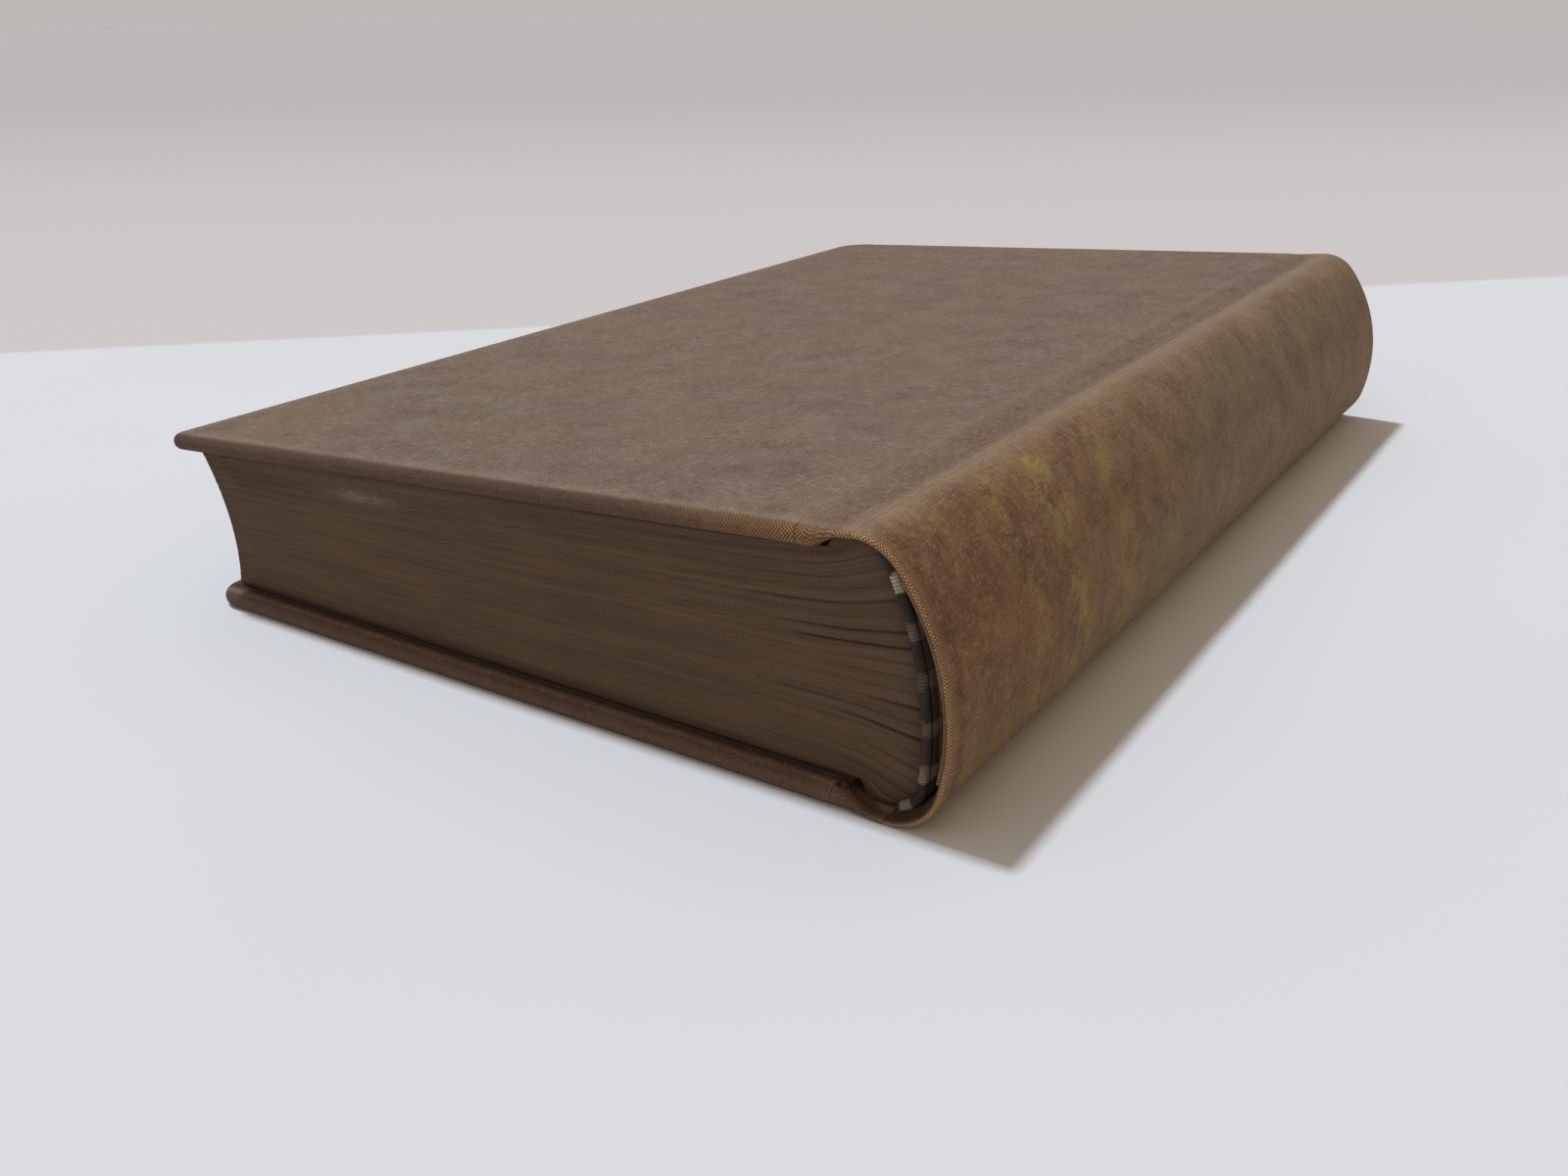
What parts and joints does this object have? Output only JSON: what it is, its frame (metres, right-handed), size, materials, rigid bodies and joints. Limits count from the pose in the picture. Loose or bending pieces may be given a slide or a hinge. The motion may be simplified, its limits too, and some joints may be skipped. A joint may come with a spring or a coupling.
{
  "type": "hardback book",
  "caption": "Old cloth-bound hardback book with a rounded spine, grooved joints, striped endbands and covers that open.",
  "frame": {"origin": "middle of the underside of the closed book", "axes": "+X from the fore edge to the spine, +Y from the head to the tail, +Z from the back cover up to the front cover"},
  "size_m": [0.1272, 0.195, 0.0334],
  "materials": {
    "bookcloth": "fine ribbed bookcloth, faded and mottled, worn pale on its ridges",
    "page_edges": "trimmed page edges, browned and dusty",
    "endpaper": "plain endpaper, yellowed",
    "lining_paper": "coarse brown lining paper",
    "open_weave": "open-weave cotton stiffened with glue",
    "millboard": "grey-brown millboard",
    "endband": "cotton band striped cream and dark blue, soiled"
  },
  "bodies": {
    "text_block": {"text_block": "page_edges", "front_free_leaf": "endpaper", "back_free_leaf": "endpaper", "spine_mull": "open_weave", "spine_lining": "lining_paper", "headband": "endband", "tailband": "endband", "spine_cloth": "bookcloth", "spine_inlay": "lining_paper"},
    "front_cover": {"front_board": "millboard", "front_cover_cloth": "bookcloth", "front_hinge_flap": "open_weave", "front_pasted_leaf": "endpaper"},
    "back_cover": {"back_board": "millboard", "back_cover_cloth": "bookcloth", "back_hinge_flap": "open_weave", "back_pasted_leaf": "endpaper"}
  },
  "joints": [
    {"name": "front_cover_hinge", "type": "hinge", "parent": "text_block", "child": "front_cover", "pos_m": [0.04743, 0, 0.0333], "axis": [0, 1, 0], "range_deg": [0, 180]},
    {"name": "back_cover_hinge", "type": "hinge", "parent": "text_block", "child": "back_cover", "pos_m": [0.05219, 0, -0.00015], "axis": [0, -1, 0], "range_deg": [0, 180]}
  ]
}
